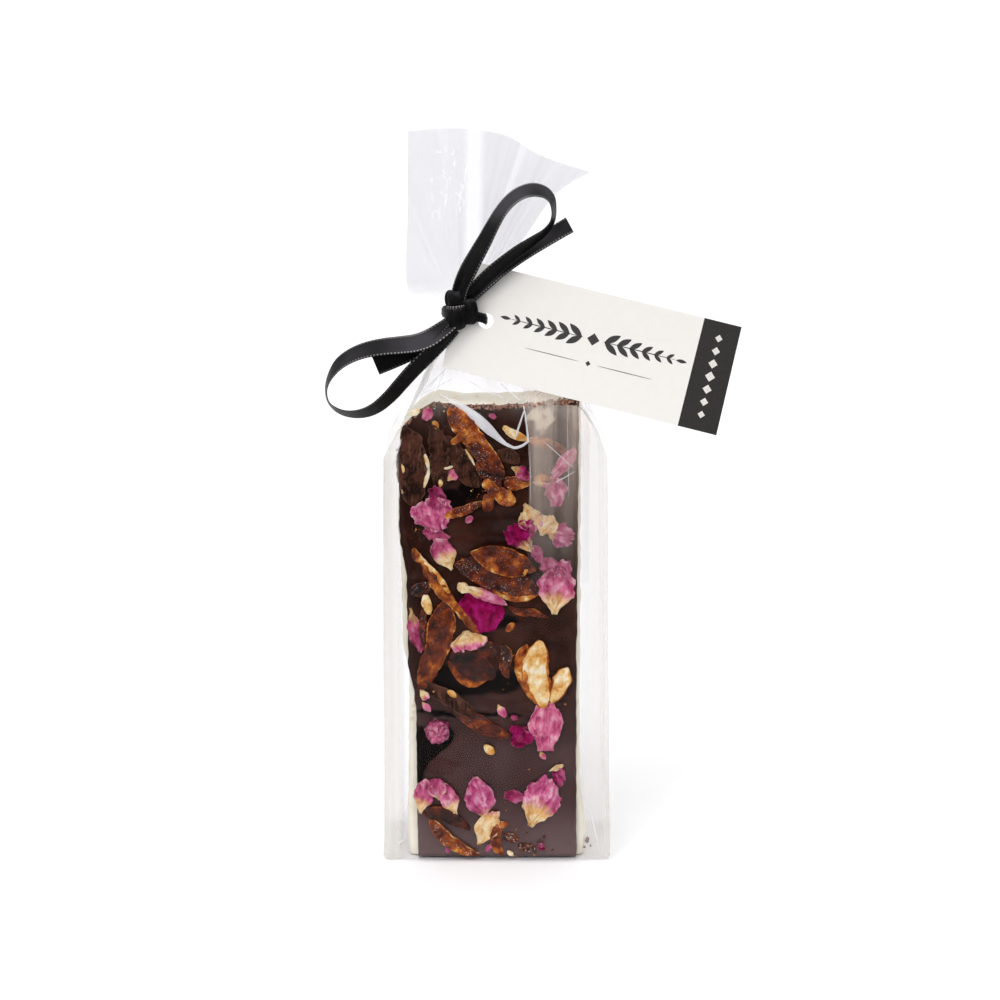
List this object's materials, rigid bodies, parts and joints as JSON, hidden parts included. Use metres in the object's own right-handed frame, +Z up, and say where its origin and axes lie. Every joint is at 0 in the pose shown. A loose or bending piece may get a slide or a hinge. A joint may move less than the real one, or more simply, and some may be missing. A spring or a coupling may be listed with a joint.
{
  "type": "nougat bar in a tied clear bag",
  "caption": "Upright nougat bar with a dark chocolate, dried fruit and petal face, in a clear block-bottom bag gathered and tied with a satin ribbon bow and a card swing tag.",
  "frame": {"origin": "middle of the bag's base, on the surface that it stands on", "axes": "+Z up the bar to the bag's open fan, +X towards the tag's banded end, -Y out of the chocolate face"},
  "size_m": [0.1391, 0.0497, 0.2492],
  "materials": {
    "clear_film": "clear crisp film with soft creases",
    "black_satin": "satin weave with stitched edges",
    "tag_card": "uncoated ivory card",
    "nougat": "matte, dense and slightly crumbly",
    "dark_chocolate": "tempered, satin to glossy",
    "dried_fig": "sticky, translucent amber to brown",
    "rose_petal": "dry, crinkled"
  },
  "bodies": {
    "root": {"bag": "clear_film", "ribbon": "black_satin", "tag": "tag_card"}
  },
  "joints": []
}
